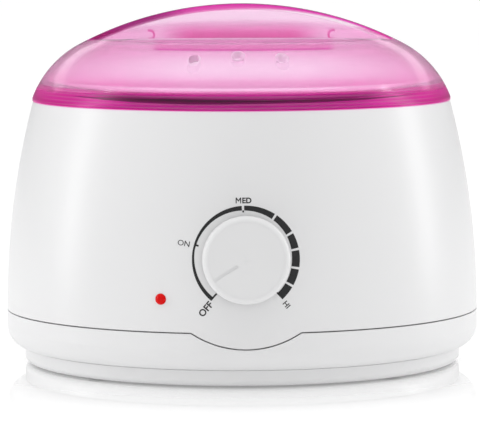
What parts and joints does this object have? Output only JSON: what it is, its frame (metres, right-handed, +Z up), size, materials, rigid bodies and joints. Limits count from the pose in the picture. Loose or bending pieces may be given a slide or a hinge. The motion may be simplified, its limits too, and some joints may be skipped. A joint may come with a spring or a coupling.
{
  "type": "wax warmer pot",
  "caption": "Round white countertop wax warmer with a transparent pink lid, a front temperature dial and a lift-out heated pot.",
  "frame": {"origin": "on the upright axis of the body, in the plane of the table under its four feet", "axes": "+Z up, +Y towards the back; the temperature dial faces -Y and the cord inlet faces +Y"},
  "size_m": [0.1802, 0.1952, 0.1368],
  "materials": {
    "white_shell": "white injection-moulded plastic, soft gloss",
    "white_knob": "white plastic, satin",
    "pink_clear": "transparent pink plastic, polished",
    "grey_rubber": "matt grey rubber",
    "pot_aluminium": "spun aluminium, satin",
    "zinc_steel": "bright zinc-plated steel",
    "chrome_wire": "polished plated wire",
    "gasket_fibre": "heat-resisting fibre sheet",
    "mica": "pressed mica sheet",
    "ceramic_white": "unglazed steatite",
    "copper_alloy": "rolled copper alloy",
    "red_lens": "translucent red plastic",
    "lamp_glass": "clear glass",
    "resistor_body": "lacquered ceramic",
    "block_nylon": "natural nylon",
    "black_nylon": "black nylon",
    "lead_red": "silicone-rubber insulation",
    "lead_blue": "silicone-rubber insulation",
    "lead_grey": "silicone-rubber insulation"
  },
  "bodies": {
    "housing": {"upper_housing": "white_shell", "base_shell": "white_shell", "bottom_cover": "white_shell", "rubber_feet": "grey_rubber", "base_screws": "zinc_steel", "heater_well": "zinc_steel", "well_gasket": "gasket_fibre", "well_screws": "zinc_steel", "mica_heater": "mica", "heater_strap": "zinc_steel", "strap_screw": "zinc_steel", "strap_nut": "zinc_steel", "heat_shield": "zinc_steel", "shield_screws": "zinc_steel", "thermostat_frame": "zinc_steel", "thermostat_nut": "zinc_steel", "insulator_stack": "ceramic_white", "stack_rivet": "zinc_steel", "contact_spring": "copper_alloy", "bimetal_strip": "copper_alloy", "contact_buttons": "copper_alloy", "indicator_lens": "red_lens", "lamp_retainer": "zinc_steel", "neon_lamp": "lamp_glass", "lamp_resistor": "resistor_body", "thermal_fuse": "zinc_steel", "fuse_clip": "zinc_steel", "terminal_block": "block_nylon", "terminal_screws": "zinc_steel", "cord_gland": "black_nylon", "gland_nut": "black_nylon", "live_lead": "lead_red", "heater_lead": "lead_red", "neutral_lead": "lead_blue", "lamp_leads": "lead_grey"},
    "pot": {"inner_pot": "pot_aluminium", "pot_ears": "pot_aluminium", "ear_rivets": "pot_aluminium"},
    "bail": {"bail_handle": "chrome_wire"},
    "lid": {"lid": "pink_clear"},
    "knob": {"control_knob": "white_knob", "knob_spring": "zinc_steel", "thermostat_shaft": "zinc_steel"},
    "pin": {"ceramic_pin": "ceramic_white"}
  },
  "joints": [
    {"name": "pot_lift", "type": "slide", "parent": "housing", "child": "pot", "axis": [0, 0, 1], "range_m": [0, 0.11]},
    {"name": "lid_lift", "type": "slide", "parent": "pot", "child": "lid", "axis": [0, 0, 1], "range_m": [0, 0.16]},
    {"name": "bail_swing", "type": "hinge", "parent": "pot", "child": "bail", "pos_m": [0, 0, 0.1007], "axis": [1, 0, 0], "range_deg": [0, 180]},
    {"name": "knob_turn", "type": "hinge", "parent": "housing", "child": "knob", "pos_m": [0, -0.08895, 0.0473], "axis": [0, 0.9963, -0.0864], "range_deg": [-18, 260]},
    {"name": "pin_travel", "type": "slide", "parent": "housing", "child": "pin", "axis": [0, 0.9963, -0.0864], "range_m": [-0.00005, 0.0006]}
  ],
  "couplings": [
    {"joint": "bail_swing", "follows": "lid_lift", "rad_per_m": 19.6},
    {"joint": "pin_travel", "follows": "knob_turn", "m_per_rad": 0.000127}
  ]
}
